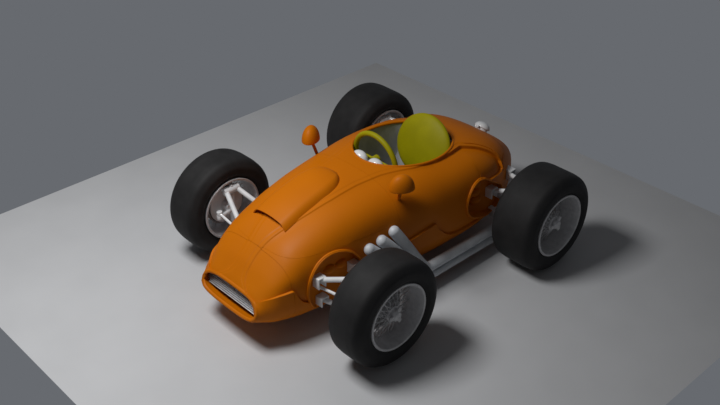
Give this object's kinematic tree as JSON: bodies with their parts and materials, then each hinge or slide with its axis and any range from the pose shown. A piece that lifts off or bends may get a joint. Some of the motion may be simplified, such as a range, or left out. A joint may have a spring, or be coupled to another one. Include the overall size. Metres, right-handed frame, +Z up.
{
  "type": "open wheel racing car",
  "caption": "Open wheel single seat racing car with bullet body, wire wheels, side exhaust, open cockpit, turning wheels, steering and hinged filler cap.",
  "frame": {"origin": "on the ground, below the middle of the overall length and width", "axes": "+Z up, -Y towards the nose, +Y towards the tail, +X towards the left side of the car"},
  "size_m": [1.856, 2.42, 0.8825],
  "materials": {
    "orange_paint": "gloss",
    "grille_metal": "satin",
    "tub_paint": "satin",
    "white_paint": "gloss",
    "seat_vinyl": "satin",
    "wheel_grip": "satin",
    "column_steel": "satin",
    "cast_metal": "matte",
    "pipe_metal": "satin",
    "tyre_rubber": "matte",
    "rim_metal": "satin",
    "drum_metal": "satin"
  },
  "bodies": {
    "chassis": {"nose_cowl": "orange_paint", "bonnet": "orange_paint", "body_shell": "orange_paint", "tail_cowl": "orange_paint", "under_tray": "orange_paint", "filler_neck": "white_paint", "grille": "grille_metal", "radiator": "cast_metal", "cockpit_tub": "tub_paint", "steering_column": "column_steel", "instrument_pods": "white_paint", "seat_back": "seat_vinyl", "seat_base": "seat_vinyl", "engine_block": "cast_metal", "final_drive": "cast_metal", "tail_pipes": "pipe_metal", "exhaust_headers": "pipe_metal", "mirrors": "orange_paint", "front_arms_left": "white_paint", "front_arms_right": "white_paint", "rear_arms_left": "white_paint", "rear_arms_right": "white_paint", "rear_uprights": "white_paint", "suspension_brackets": "white_paint", "rack_housing": "cast_metal"},
    "steering_wheel": {"steering_wheel": "wheel_grip"},
    "fuel_cap": {"fuel_cap": "white_paint"},
    "knuckle_left": {"knuckle_left": "white_paint"},
    "knuckle_right": {"knuckle_right": "white_paint"},
    "steering_rack": {"steering_rack": "white_paint"},
    "wheel_front_left": {"tyre_front_left": "tyre_rubber", "rim_front_left": "rim_metal", "drum_front_left": "drum_metal"},
    "wheel_front_right": {"tyre_front_right": "tyre_rubber", "rim_front_right": "rim_metal", "drum_front_right": "drum_metal"},
    "wheel_rear_left": {"tyre_rear_left": "tyre_rubber", "rim_rear_left": "rim_metal", "drum_rear_left": "drum_metal", "half_shaft_left": "white_paint"},
    "wheel_rear_right": {"tyre_rear_right": "tyre_rubber", "rim_rear_right": "rim_metal", "drum_rear_right": "drum_metal", "half_shaft_right": "white_paint"}
  },
  "joints": [
    {"name": "steer_left", "type": "hinge", "parent": "chassis", "child": "knuckle_left", "pos_m": [0.625, -0.676, 0.33], "axis": [0, 0, 1], "range_deg": [-22, 22]},
    {"name": "steer_right", "type": "hinge", "parent": "chassis", "child": "knuckle_right", "pos_m": [-0.625, -0.676, 0.33], "axis": [0, 0, 1], "range_deg": [-22, 22]},
    {"name": "steering_wheel_turn", "type": "hinge", "parent": "chassis", "child": "steering_wheel", "pos_m": [0, -0.02, 0.69], "axis": [0, 0.9976, 0.0698], "range_deg": [-180, 180]},
    {"name": "rack_travel", "type": "slide", "parent": "chassis", "child": "steering_rack", "axis": [1, 0, 0], "range_m": [-0.046, 0.046]},
    {"name": "fuel_cap_lid", "type": "hinge", "parent": "chassis", "child": "fuel_cap", "pos_m": [0, 0.93787, 0.57492], "axis": [1, 0, 0], "range_deg": [0, 95]},
    {"name": "wheel_front_left_spin", "type": "hinge", "parent": "knuckle_left", "child": "wheel_front_left", "pos_m": [0.75, -0.676, 0.33], "axis": [1, 0, 0], "continuous": true},
    {"name": "wheel_front_right_spin", "type": "hinge", "parent": "knuckle_right", "child": "wheel_front_right", "pos_m": [-0.75, -0.676, 0.33], "axis": [1, 0, 0], "continuous": true},
    {"name": "wheel_rear_left_spin", "type": "hinge", "parent": "chassis", "child": "wheel_rear_left", "pos_m": [0.77, 0.68, 0.328], "axis": [1, 0, 0], "continuous": true},
    {"name": "wheel_rear_right_spin", "type": "hinge", "parent": "chassis", "child": "wheel_rear_right", "pos_m": [-0.77, 0.68, 0.328], "axis": [1, 0, 0], "continuous": true}
  ],
  "couplings": [
    {"joint": "steer_right", "follows": "steer_left", "ratio": 1},
    {"joint": "steering_wheel_turn", "follows": "steer_left", "ratio": 8},
    {"joint": "rack_travel", "follows": "steer_left", "m_per_rad": 0.115}
  ]
}
